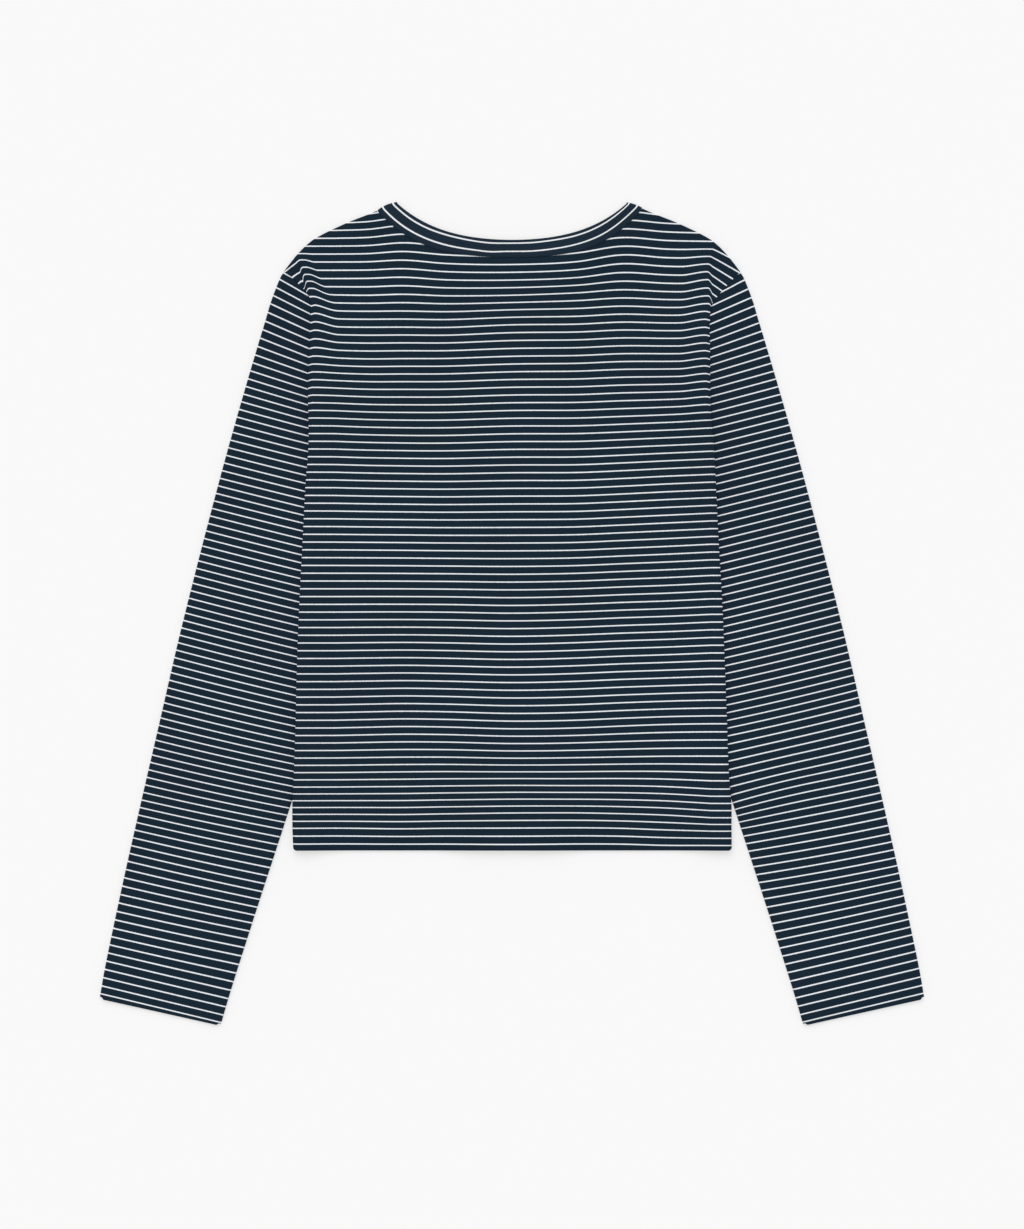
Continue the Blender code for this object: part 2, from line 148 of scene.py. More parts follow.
# The folded sleeve, cuff to armhole, measured in the photograph where it can be seen.
SLEEVE_FOLDS = (
    # (outer_x, outer_y, inner_x, inner_y) in millimetres
    (338.1, -314.8, 238.9, -336.9), (332.5, -283.5, 229.8, -306.0),
    (318.6, -217.9, 209.4, -242.0), (303.8, -152.3, 188.4, -177.6),
    (288.6, -86.7, 167.8, -114.0), (273.5, -21.1, 147.2, -50.0),
    (257.1, 44.5, 128.0, 9.0), (239.9, 110.1, 114.5, 62.0),
    (226.3, 159.3, 115.5, 92.0), (212.0, 208.5, 131.0, 116.0),
    (202.1, 241.3, 143.0, 127.0), (197.2, 257.7, 149.0, 134.5),
    (190.6, 274.8, 153.5, 141.5), (187.0, 281.0, 156.0, 147.0),
)

# Lifts over what lies underneath, and (level, easing) distances past it.
BUTTON_THICKNESS = 1.6 * MM
BUTTON_LIFT = BUTTON_THICKNESS + GAP
INNER_BAND_LIFT = BUTTON_LIFT + LAYER
SLEEVE_LIFT = 2 * LAYER
BACK_BY_SLEEVE = (24.0 * MM, 36.0 * MM)
BACK_BY_BANDS = (22.0 * MM, 46.0 * MM)
FRONT_BY_SLEEVE = (14.0 * MM, 18.0 * MM)
FRONT_BY_BANDS = (14.0 * MM, 22.0 * MM)
BLEND_POWER = 6


def smooth_step(t):
    """0 below 0, 1 above 1, and an even S-curve between."""
    t = np.clip(t, 0.0, 1.0)
    return t * t * (3.0 - 2.0 * t)


def flowing(knots, values, at):
    """A smooth curve through the points of a table, level past its ends."""
    knots, values = np.asarray(knots, float), np.asarray(values, float)
    slopes = np.gradient(values, knots)
    low = np.clip(np.searchsorted(knots, at) - 1, 0, len(knots) - 2)
    step = knots[low + 1] - knots[low]
    t = np.clip((at - knots[low]) / step, 0.0, 1.0)
    rise = (1 - t) ** 2 * (1 + 2 * t) * values[low] + t ** 2 * (3 - 2 * t) * values[low + 1]
    turn = t * (1 - t) ** 2 * slopes[low] - t ** 2 * (1 - t) * slopes[low + 1]
    return rise + turn * step


def column_of(table, number):
    """One column of a table of millimetres, in metres."""
    return np.array([row[number] for row in table]) * MM


def curve_height(curve, x):
    return curve["low"] + curve["rise2"] * x ** 2 + curve["rise4"] * x ** 4


def distance_to_path(x, y, path):
    """Shortest distance in plan from each point to a chain of points."""
    best = np.full(np.shape(x), 1.0)
    for (ax, ay), (bx, by) in zip(path, path[1:]):
        dx, dy = bx - ax, by - ay
        share = np.clip(((x - ax) * dx + (y - ay) * dy) / (dx * dx + dy * dy), 0.0, 1.0)
        best = np.minimum(best, np.hypot(x - ax - share * dx, y - ay - share * dy))
    return best


INNER_FOLD = list(zip(column_of(SLEEVE_FOLDS, 2), column_of(SLEEVE_FOLDS, 3)))


def eased(lift, distance, reach):
    """A lift that stays level over reach[0] and falls to nothing over reach[1]."""
    level, ease = reach
    return lift * smooth_step(1.0 - (distance - level) / ease)


def over_sleeve(x, y, reach):
    """Lift of the body where a sleeve is tucked under it."""
    x = np.abs(x)
    fold_x = np.interp(y, column_of(SLEEVE_FOLDS, 3), column_of(SLEEVE_FOLDS, 2))
    beside = eased(SLEEVE_LIFT, distance_to_path(x, y, INNER_FOLD), reach)
    return np.where((y < UNDERARM_Y) & (x > fold_x), SLEEVE_LIFT, beside)


def side_edge(x, y):
    """Half width of the body at a height, on the side of it that x is on."""
    heights = column_of(SIDES, 0)
    left = flowing(heights, column_of(SIDES, 1), y)
    right = flowing(heights, column_of(SIDES, 2), y)
    return np.where(x < 0, left, right)


# The stripes, counted up from the hem. The jersey isn't quite square as it lies, so
# each row gives a stripe's height at the middle and how far it stands above that
# height at nine places. Most are readings from the photograph, by a measuring script.
STRIPE_PLACES = (-145.0, -118.0, -90.0, -54.0, 0.0, 54.0, 90.0, 127.0, 163.0)
STRIPES = (
    # (number, height at the middle, rise at each of STRIPE_PLACES) in millimetres
    (0, -188.1, (0.4, 0.2, 0.1, 0.2, 0.0, 0.3, 0.1, -0.9, -0.8)),
    (2, -174.6, (-0.1, -0.5, -0.8, -0.3, 0.0, 0.1, -0.4, -1.7, -2.5)),
    (4, -162.3, (-1.1, -1.3, -1.4, -0.8, 0.0, 0.0, -0.7, -1.9, -3.9)),
    (8, -139.7, (-1.4, -1.3, -1.1, -0.6, 0.0, -0.3, -0.4, -1.2, -3.0)),
    (12, -117.5, (0.2, 0.5, 0.8, 0.8, 0.0, 0.4, 1.0, 1.6, 1.8)),
    (16, -93.4, (0.7, 1.3, 1.8, 1.4, 0.0, 0.7, 2.2, 3.6, 4.2)),
    (24, -42.9, (0.8, 1.2, 1.5, 1.0, 0.0, 1.2, 2.7, 3.9, 5.3)),
    (32, 7.6, (0.9, 1.0, 1.0, 0.8, 0.0, 1.1, 2.5, 3.7, 5.4)),
    (40, 58.7, (0.8, 0.6, 0.4, 0.1, 0.0, 0.6, 2.1, 3.7, 5.4)),
    (48, 109.9, (0.5, -0.1, -0.5, -0.7, 0.0, 0.3, 1.7, 3.6, 5.0)),
    (56, 160.9, (0.0, -1.0, -1.4, -1.4, 0.0, 0.3, 1.6, 2.9, 4.6)),
    (64, 211.6, (-1.3, -2.0, -1.7, -1.6, 0.0, 0.8, 2.3, 2.3, 2.3)),
    (68, 237.4, (-1.6, -1.8, -1.7, -2.0, 0.0, 0.7, 2.4, 1.7, 1.9)),
    (70, 249.7, (-0.8, -1.0, -0.8, -1.4, 0.0, 1.3, 3.2, 2.1, 2.2)),
    (72, 261.6, (0.5, 0.2, 1.0, -0.3, 0.0, 2.2, 4.7, 3.2, 3.0)),
    (74, 274.0, (1.5, 1.7, 2.6, 0.4, 0.0, 2.3, 6.4, 4.5, 4.1)),
    (76, 286.8, (2.3, 2.5, 3.8, 1.0, 0.0, 2.6, 8.1, 5.8, 5.5)),
    (80, 314.5, (0.5, 1.4, 4.5, 1.5, 0.0, 3.5, 8.8, 6.3, 5.0)),
    (84, 341.7, (-3.0, -0.6, 4.0, 1.5, 0.0, 3.5, 11.0, 4.0, 2.0)),
)
# Near the armholes the cloth rolls up a little before its edge, which carries the
# stripes up with it.
ROLL = {
    # (height, rise, where it starts, where it is full), x from the middle; all in mm
    "left": (
        (150.0, 0.0, 141.0, 161.0), (187.0, 0.5, 141.0, 161.0), (212.0, 1.5, 141.0, 161.0),
        (237.0, 3.9, 141.5, 161.5), (253.0, 4.7, 143.5, 162.4), (260.0, 5.1, 146.0, 162.8),
        (267.0, 5.3, 151.5, 163.6), (273.0, 4.5, 155.0, 165.0), (279.0, 3.3, 157.5, 167.0),
        (284.5, 2.4, 160.0, 169.0), (290.5, 1.6, 162.5, 170.8), (296.0, 0.2, 163.0, 172.0),
        (300.0, 0.0, 163.0, 173.0),
    ),
    "right": (
        (150.0, 0.0, 137.0, 158.0), (165.0, 0.4, 137.0, 158.0), (187.0, 1.4, 137.0, 158.0),
        (212.0, 2.2, 137.0, 158.0), (237.0, 2.5, 137.0, 158.0), (248.0, 2.8, 137.0, 158.5),
        (255.0, 2.9, 137.5, 159.0), (267.0, 3.0, 138.0, 160.0), (275.0, 3.1, 138.0, 160.5),
        (281.0, 2.9, 138.0, 161.0), (287.0, 2.1, 138.0, 161.0), (294.5, 1.1, 138.0, 161.0),
        (303.0, 0.2, 138.0, 161.0), (310.0, 0.0, 138.0, 161.0),
    ),
}
# Past its crest the roll turns down to the armhole seam, first steeply and then in a
# slope, and takes the stripes down with it.
CREST = {
    # (height, crest, steep drop, slope past it), x from the middle; lengths in mm
    "left": (
        (240.0, 166.5, 0.0, 0.0), (254.0, 165.0, 0.8, 0.3), (260.0, 165.2, 1.6, 0.6),
        (266.7, 166.0, 3.4, 1.0), (272.9, 167.2, 3.8, 1.0), (278.7, 169.2, 3.0, 0.88),
        (284.3, 170.8, 2.7, 0.62), (289.8, 173.0, 0.3, 0.8), (298.0, 176.0, 0.0, 0.8),
    ),
    "right": (
        (240.0, 163.0, 0.0, 0.0), (248.0, 161.8, 0.8, 0.3), (254.7, 161.0, 1.8, 0.6),
        (261.2, 160.6, 3.4, 0.8), (267.5, 160.4, 2.6, 0.72), (274.6, 160.2, 1.6, 0.7),
        (281.0, 159.8, 0.9, 0.7), (286.8, 160.6, 0.4, 0.62), (293.2, 162.0, 0.0, 0.57),
        (303.0, 165.0, 0.0, 0.5),
    ),
}
STEEP_WIDTH = 2.8 * MM
CREST_ROUND = 1.4 * MM
EDGE_DIP = 0.65 * MM                    # of the stripes at the very edge, beside the sleeve's top
EDGE_DIP_WIDTH = 4.0 * MM
DIP_TOP = (262.0 * MM, 8.0 * MM)        # height where it starts, and over which it comes in
DIP_END = (155.0 * MM, 30.0 * MM)       # height where it has gone, and over which it goes


def on_side(tables, number, x, y):
    """A column of the left or right table, whichever side x is on, at a height."""
    left, right = (
        flowing(column_of(tables[side], 0), column_of(tables[side], number), y)
        for side in ("left", "right")
    )
    return np.where(x < 0, left, right)


def rolled_up(x, y):
    """How far on to the roll beside the armhole a point is, from 0 to 1."""
    start, full = on_side(ROLL, 2, x, y), on_side(ROLL, 3, x, y)
    return smooth_step((np.abs(x) - start) / (full - start))


def number_at(y, rows, numbers):
    """Which of some rows, each a height at every point, y lies at, with its fraction."""
    rows, numbers = np.array(rows), np.array(numbers, float)
    low = np.clip((rows <= y).sum(axis=0) - 1, 0, len(rows) - 2)
    point = np.arange(len(y))
    below, above = rows[low, point], rows[low + 1, point]
    return numbers[low] + (y - below) / (above - below) * (numbers[low + 1] - numbers[low])


def stripe_number(x, y):
    """Which stripe passes through a point of the body, with its fraction."""
    dip = EDGE_DIP * smooth_step(1.0 - (side_edge(x, y) - np.abs(x)) / EDGE_DIP_WIDTH)
    dip = dip * smooth_step((DIP_TOP[0] - y) / DIP_TOP[1]) * smooth_step((y - DIP_END[0]) / DIP_END[1])
    level = y                           # where the same stripe lies on the crest
    for _ in range(5):
        past_crest = np.maximum(np.abs(x) - on_side(CREST, 1, x, level), 0.0)
        past_crest = past_crest ** 2 / (past_crest + CREST_ROUND)
        steep = on_side(CREST, 2, x, level) * smooth_step(past_crest / STEEP_WIDTH)
        level = y + steep + on_side(CREST, 3, x, level) / MM * past_crest
    y = level + dip - on_side(ROLL, 1, x, level) * rolled_up(x, level)
    rows = []
    for _, middle, rises in STRIPES:
        rows.append(middle * MM + flowing(np.array(STRIPE_PLACES) * MM, np.array(rises) * MM, x))
    return number_at(y, rows, [row[0] for row in STRIPES])


def body_weave(x, y):
    """Where each point lies in the knitting: millimetres across, stripes up."""
    return x / MM, stripe_number(x, y)


# The jersey's two yarns, and how it is knitted.
NAVY = (0.0078, 0.0195, 0.0340)
WHITE = (0.93, 0.96, 1.0)
STRIPE_WIDTH = 0.148                    # of the white line, as a share of the repeat
STRIPE_BLUR = 0.028                     # half the width over which its fuzzy edges fade
WALE = 0.75                             # width of a column of stitches in millimetres
COURSES = 12                            # rows of stitches to one repeat


def add_node(tree, kind, inputs=(), **settings):
    """A shader node with its settings, and its inputs linked or set by position."""
    made = tree.nodes.new("ShaderNode" + kind)
    for key, value in settings.items():
        setattr(made, key, value)
    for place, value in enumerate(inputs):
        if isinstance(value, bpy.types.NodeSocket):
            tree.links.new(value, made.inputs[place])
        elif value is not None:
            made.inputs[place].default_value = value
    return made


def jersey(name, navy, white):
    """Striped single jersey, read from the cloth's own UV map."""
    made = bpy.data.materials.new(name)
    made.use_nodes = True
    tree = made.node_tree
    shader = tree.nodes["Principled BSDF"]

    def sum_of(a, b, operation="ADD"):
        return add_node(tree, "Math", (a, b), operation=operation).outputs[0]

    weave = add_node(tree, "UVMap", uv_map="weave").outputs["UV"]
    split = add_node(tree, "SeparateXYZ", (weave,))
    across, stripes = split.outputs["X"], split.outputs["Y"]

    # V-shaped stitches: a sawtooth across each column, slanting the rows up to its middle
    column = sum_of(sum_of(across, 1.0 / WALE, "MULTIPLY"), 0.5, "PINGPONG")
    course = sum_of(stripes, float(COURSES), "MULTIPLY")
    slanted = sum_of(course, sum_of(column, 1.1, "MULTIPLY"))
    stitch = sum_of(sum_of(slanted, 0.5, "PINGPONG"), 2.0, "MULTIPLY")
    leg = sum_of(sum_of(column, 2.0 * math.pi, "MULTIPLY"), 0.0, "SINE")
    height = sum_of(leg, sum_of(sum_of(stitch, 0.5, "MULTIPLY"), 0.5), "MULTIPLY")

    # white line, with the stitches' zigzag in its edges and a slightly uneven width
    fibre = add_node(tree, "TexNoise", (weave,), noise_dimensions="2D")
    fibre.inputs["Scale"].default_value = 1.7
    fibre.inputs["Detail"].default_value = 2.0
    uneven = sum_of(sum_of(fibre.outputs["Fac"], 0.5, "SUBTRACT"), 0.05, "MULTIPLY")
    zigzag = sum_of(sum_of(column, 0.25, "SUBTRACT"), 0.05, "MULTIPLY")
    line = sum_of(sum_of(sum_of(stripes, zigzag), 0.5, "PINGPONG"), uneven)
    edges = (STRIPE_WIDTH / 2 + STRIPE_BLUR, STRIPE_WIDTH / 2 - STRIPE_BLUR)
    on_line = add_node(tree, "MapRange", (line, *edges, 0.0, 1.0), interpolation_type="SMOOTHSTEP")

    # the dye is a little uneven, and painted shade darkens the hollows between stitches while painted
    # light lightens their crowns
    place = add_node(tree, "TexCoord").outputs["Object"]
    cloud = add_node(tree, "TexNoise", (place,))
    cloud.inputs["Scale"].default_value = 9.0
    cloud.inputs["Detail"].default_value = 3.0
    dye = add_node(tree, "MapRange", (cloud.outputs["Fac"], 0.3, 0.7, 0.94, 1.06))
    # painted shade: the knit's height darkens the colour in its hollows and lightens it on its crowns,
    # besides the bump
    painted_stitch_shade = add_node(tree, "MapRange", (height, 0.0, 1.0, 0.80, 1.12))
    tone = sum_of(dye.outputs[0], painted_stitch_shade.outputs[0], "MULTIPLY")
    yarn = add_node(tree, "MixRGB", (on_line.outputs[0], (*navy, 1.0), (*white, 1.0)))
    toned = add_node(tree, "VectorMath", (yarn.outputs[0],), operation="SCALE")
    tree.links.new(tone, toned.inputs["Scale"])
    tree.links.new(toned.outputs[0], shader.inputs["Base Color"])

    bump = add_node(tree, "Bump")
    bump.inputs["Strength"].default_value = 0.5
    bump.inputs["Distance"].default_value = 0.15 * MM
    tree.links.new(height, bump.inputs["Height"])
    tree.links.new(bump.outputs[0], shader.inputs["Normal"])
    shader.inputs["Roughness"].default_value = 0.85
    shader.inputs["Specular IOR Level"].default_value = 0.08
    shader.inputs["Sheen Weight"].default_value = 0.03
    shader.inputs["Sheen Roughness"].default_value = 0.4
    return made


body_jersey = jersey("striped jersey", NAVY, WHITE)


RIM = ((0.0, 0.35), (0.12, 0.78), (0.36, 1.0))   # (mm from the edge, share of the wall)


def rim_rows(count, length):
    """Shares along a side of a sheet for evenly spaced rows, with close ones at both ends."""
    rim = np.array([distance for distance, _ in RIM[:-1]]) * MM / length
    inner = RIM[-1][0] * MM / length
    even = np.linspace(inner, 1.0 - inner, count + 1 - 2 * len(rim))
    return np.concatenate((rim, even, 1.0 - rim[::-1]))


def cloth_sheet(name, columns, rows, size, place, material, closed=False):
    """A sheet of cloth of a size in metres, as a grid with a wall and rounded rims.

    place(s, t) takes each point's share across and along, and gives x, y and z in
    metres and the two coordinates of its weave. A closed sheet is joined round.
    """
    bm = bmesh.new()
    bmesh.ops.create_grid(bm, x_segments=columns, y_segments=rows, size=0.5)
    bm.verts.index_update()
    flat = np.array([vert.co for vert in bm.verts])
    column = np.rint((flat[:, 0] + 0.5) * columns).astype(int)
    row = np.rint((flat[:, 1] + 0.5) * rows).astype(int)
    s = column / columns if closed else rim_rows(columns, size[0])[column]
    from_rim = np.minimum(row, rows - row)
    if not closed:
        from_rim = np.minimum(from_rim, np.minimum(column, columns - column))
    x, y, z, across, stripes = place(s, rim_rows(rows, size[1])[row])
    weave = bm.loops.layers.uv.new("weave")
    for face in bm.faces:
        for loop in face.loops:
            at = loop.vert.index
            loop[weave].uv = (across[at], stripes[at])
    thinning = bm.verts.layers.deform.new()
    for vert, point, steps in zip(bm.verts, zip(x, y, z), from_rim):
        vert.co = point
        vert[thinning][0] = RIM[min(steps, len(RIM) - 1)][1]
    if closed:
        bmesh.ops.remove_doubles(bm, verts=bm.verts, dist=0.01 * MM)
        bmesh.ops.recalc_face_normals(bm, faces=bm.faces)
    elif sum(face.calc_area() * face.normal.z for face in bm.faces) < 0:
        bmesh.ops.reverse_faces(bm, faces=bm.faces)
    made = placed_object(name, bm)
    made.data.materials.append(material)
    made.data.shade_smooth()
    made.vertex_groups.new(name="wall")
    shell = made.modifiers.new("wall", "SOLIDIFY")
    shell.thickness = WALL
    shell.offset = 0.0
    shell.vertex_group = "wall"
    return made


def ripple(x, y, seed):
    """Very soft unevenness of cloth that has been smoothed out by hand."""
    return 0.2 * MM * (
        2.0
        + np.sin(x / (31 * MM) + 0.6 * np.sin(y / (47 * MM) + seed) + seed)
        + np.sin(y / (39 * MM) + 0.8 * np.sin(x / (53 * MM) - seed) + 2 * seed)
    )


SIDE_PUFF = 2.3 * MM                    # the folded side stands up a little
PUFF_BY_SIDE = (5.0 * MM, 26.0 * MM)    # level, then easing off inwards, as the lifts do
TURNED_DROP = 1.9 * MM                  # the very edge turns down into the side seam
TURNED_WIDTH = 3.2 * MM
BACK_BY_SIDE = (14.0 * MM, 22.0 * MM)
CORNER_FADE = (258.0 * MM, 16.0 * MM)   # the side is raised only below the armhole's corner
ROLL_HEIGHT = 1.9 * MM                  # of the roll beside the armhole
ROLL_BOTTOM = (236.0 * MM, 20.0 * MM)
ROLL_TOP = (302.0 * MM, 18.0 * MM)
ROLL_FALL = 4.0 * MM                    # past its crest
RIDGE_TOP = (308.0 * MM, 44.0 * MM)     # the ridge over the bands is level at the neck
CORNER_ROUND = 2.9 * MM                 # radius of the hem's corners
SEAM_LAP = 0.8 * MM                     # one edge of a seam lies this far under the other
SEAM_DIP = 0.7 * MM                     # and the back sinks this far beside the neckband's
SEAM_DIP_WIDTH = 3.0 * MM
NECK_REACH = 112.0 * MM                 # that seam's half width, and a little more


def back_height(x, y):
    """Middle of the back's wall above the floor."""
    inward = side_edge(x, y) - np.abs(x)
    below = smooth_step((CORNER_FADE[0] - y) / CORNER_FADE[1])
    side = below * eased(SIDE_PUFF, inward, PUFF_BY_SIDE)
    turned_under = below * TURNED_DROP * smooth_step(1.0 - inward / TURNED_WIDTH)
    roll = ROLL_HEIGHT * rolled_up(x, y)
    roll = roll * smooth_step((y - ROLL_BOTTOM[0]) / ROLL_BOTTOM[1])
    roll = roll * smooth_step((ROLL_TOP[0] - y) / ROLL_TOP[1])
    roll = roll * smooth_step(1.0 - (np.abs(x) - on_side(CREST, 1, x, y)) / ROLL_FALL)
    side = np.maximum(side, roll)
    ridge = smooth_step((RIDGE_TOP[0] - y) / RIDGE_TOP[1])
    lifts = (
        over_sleeve(x, y, BACK_BY_SLEEVE),
        below * eased(LAYER, inward, BACK_BY_SIDE),
        ridge * eased(INNER_BAND_LIFT, np.abs(x), BACK_BY_BANDS),
    )
    lift = sum(lift ** BLEND_POWER for lift in lifts) ** (1 / BLEND_POWER)
    return WALL / 2 + LAYER + lift + side - turned_under + ripple(x, y, 1.3)


def rounded_corner(inward, up):
    """How far the hem is drawn up near its corner, fading out above it."""
    inside = np.clip(CORNER_ROUND - inward, 0.0, CORNER_ROUND)
    drawn = CORNER_ROUND - np.sqrt(CORNER_ROUND ** 2 - inside ** 2)
    return drawn * np.clip(1.0 - up / (4 * CORNER_ROUND), 0.0, 1.0)


def top_edge(side, across, seam):
    """Half a panel's top, from the middle out to the shoulder tip, as x and y."""
    neck_x, neck_y = seam(side, np.clip(across / NECK_SHARE, 0.0, 1.0))
    out = np.clip((across - NECK_SHARE) / (1.0 - NECK_SHARE), 0.0, 1.0)
    shoulder = (SHOULDER_START[side], *SHOULDER)
    places = np.linspace(0.0, 1.0, len(shoulder))
    shoulder_x = np.interp(out, places, column_of(shoulder, 0))
    shoulder_y = np.interp(out, places, column_of(shoulder, 1))
    below_neck = across <= NECK_SHARE
    return np.where(below_neck, (neck_x, neck_y), (shoulder_x, shoulder_y))


def back_seam(side, share):
    """The back's neck edge, which laps a little under the band's seam."""
    seam = NECK_SEAM[side]
    x = seam["end_x"] * share
    slope = np.arctan(2 * seam["rise2"] * x + 4 * seam["rise4"] * x ** 3)
    return x - SEAM_LAP * np.sin(slope), curve_height(seam, x) + SEAM_LAP * np.cos(slope)


def panel_point(column, v, seam, inner=0.0):
    """A point in plan of a panel: column from -1 to 1 across, v from hem to top.

    inner is the x of a front's centre edge.
    """
    across = np.abs(column)
    hem_end = np.where(column < 0, SIDES[0][1], SIDES[0][2]) * MM
    tip_end = np.where(column < 0, SIDES[-1][1], SIDES[-1][2]) * MM
    top_x, top_y = np.where(column < 0, top_edge(-1, across, seam), top_edge(1, across, seam))
    x = (1 - v) * (inner + across * (hem_end - inner)) + v * top_x
    y = (1 - v) * HEM_Y + v * top_y
    # the side edge bows away from a straight line, its neighbours less so
    side_y = (1 - v) * HEM_Y + v * TIP_Y
    bow = side_edge(column, side_y) - ((1 - v) * hem_end + v * tip_end)
    x = x + bow * across ** 4
    y = y + rounded_corner(side_edge(column, y) - x, y - HEM_Y)
    return np.sign(column) * x, y


def closer_at_sides(column):
    """Columns three times as close near the sides, where the cloth rolls."""
    return np.sign(column) * np.interp(np.abs(column), (0.0, 0.58, 1.0), (0.0, 0.8, 1.0))


def closer_at_top(share):
    """Rows two and a half times as close beside and above the armholes."""
    return np.interp(share, (0.0, 0.6, 1.0), (0.0, 0.8, 1.0))


def neck_dip(x, y):
    """How far the back sinks beside the neckband's seam."""
    seam = np.where(x < 0, curve_height(NECK_SEAM[-1], x), curve_height(NECK_SEAM[1], x))
    slope = 1.0 + (np.abs(x) / (90 * MM)) ** 2
    dip = SEAM_DIP * smooth_step(1.0 - (seam - y) / slope / SEAM_DIP_WIDTH)
    return dip * (np.abs(x) < NECK_REACH)


def back_place(s, t):
    x, y = panel_point(closer_at_sides(2 * s - 1), closer_at_top(t), back_seam)
    return x, y, back_height(x, y) - neck_dip(x, y), *body_weave(x, y)


back = cloth_sheet("back_panel", 174, 196, (0.20, 0.50), back_place, body_jersey)
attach(back, "root")
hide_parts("back")

# ---- fronts -----------------------------------------------------------------
# Two panels of the same jersey, seamed to the back at the shoulders and sides, lying
# on the floor. Their stripes meet the back's at the side seams. Each ends at the
# centre in a band, and the wearer's right one laps over the left.
BAND_HALF_WIDTH = 7.5 * MM
FRONT_NECK_Y = 257.2 * MM               # the neckband's edge at the centre front
FRONT_SEAM_Y = 242.9 * MM               # and its seam
CORNER_Y = 259.3 * MM                   # where the armhole seam turns out to the tip
TUCK = 2.2 * MM                         # the sleeve's edge laps this far under the back's
TUCK_DROP = 22.0 * MM
TUCK_EASE = 10.0 * MM
UNDERARM_REACH = 12.0 * MM


def tucked(y):
    """0 where back and sleeve are seamed edge to edge, 1 where the back laps over."""
    return smooth_step((CORNER_Y - TUCK_DROP - y) / TUCK_EASE)


def ellipse_angle(share, wide):
    """Angle round the front neck's ellipse, from the front edge to the shoulder."""
    start = math.asin(BAND_HALF_WIDTH / wide)
    return start + (math.pi / 2 - start) * share


def front_seam(side, share):
    """The front's neck edge, against the band's seam."""
    wide = NECK_SEAM[side]["end_x"]
    top = curve_height(NECK_SEAM[side], wide)
    angle = ellipse_angle(share, wide)
    x = np.maximum(wide * np.sin(angle), BAND_HALF_WIDTH)
    return x, top - (top - FRONT_SEAM_Y) * np.cos(angle)


def front_lift(side, x, y):
    """Rise of a front over the sleeve under its side and the bands at its middle."""
    centre = BUTTON_LIFT if side > 0 else INNER_BAND_LIFT
    bands = eased(centre, np.abs(x), FRONT_BY_BANDS)
    return np.maximum(over_sleeve(x, y, FRONT_BY_SLEEVE), bands)


def front_sheet(name, side):
    def place(s, t):
        x, y = panel_point(side * np.maximum(s, 1e-6), t, front_seam, BAND_HALF_WIDTH)
        inset = (TUCK + GAP) * tucked(y) * smooth_step((y - UNDERARM_Y) / UNDERARM_REACH)
        x = x - side * (inset + GAP) * s ** 8
        return x, y, WALL / 2 + front_lift(side, x, y), *body_weave(x, y)

    return cloth_sheet(name, 56, 150, (0.17, 0.50), place, body_jersey)


for side, name in ((1, "front_right"), (-1, "front_left")):
    front = front_sheet(name + "_panel", side)
    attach(front, "root")
    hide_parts(name)

# ---- sleeves ----------------------------------------------------------------
# Each is one piece of the jersey, cut with the stripes across it, folded along its
# length and closed by a seam hidden under the arm. It lies flat and tapers to a
# turned cuff; its head is seamed to the armhole and its inner edge lies under the body.
MOUTH_HEIGHTS = (281.0, 270.0, 259.3, 240.0, 220.0, 200.0, 180.0, 160.0, 147.0)
UNDERARM_TUCK = 7.3 * MM
LAP_EASE = 4.0 * MM                     # the mouth's lap starts from nothing at the tip
HEAD_START = 0.45                       # share of the length where the rows start to curve
RING_SPREAD = 0.9
INNER_SWAY = 6
SLEEVE_COLUMNS = 30                     # faces across each layer
TURN_STEPS = 4                          # faces round each folded edge
SLEEVE_ROWS = 176
SLEEVE_PUFF = 0.9 * MM                  # the folded edges stand up a little
SLEEVE_LENGTH = 640.0 * MM              # as cut
CUFF_ROUND = 1.7 * MM                   # radius of the cuff's corners
CUFF_DIRECTION = (-0.175, 0.985)        # of the sleeve's folds at the cuff, towards the armhole
PUFF_WIDTH = 10.0 * MM
RIPPLE_SHARE = 0.6                      # the sleeve's soft unevenness, compared with the back's
RIPPLE_EDGE = 8.0 * MM                  # it fades out this near to a fold
CLEAR_OF_BODY = (2.0 * MM, 9.0 * MM)    # both start this far from the body, and ease in
MOUTH_DIP_START = 0.985                 # share of the sleeve's length
MOUTH_DIP = 0.35 * MM                   # each layer sinks this far where it laps at the seam
STRIPE_REFERENCE_X = 184.1 * MM

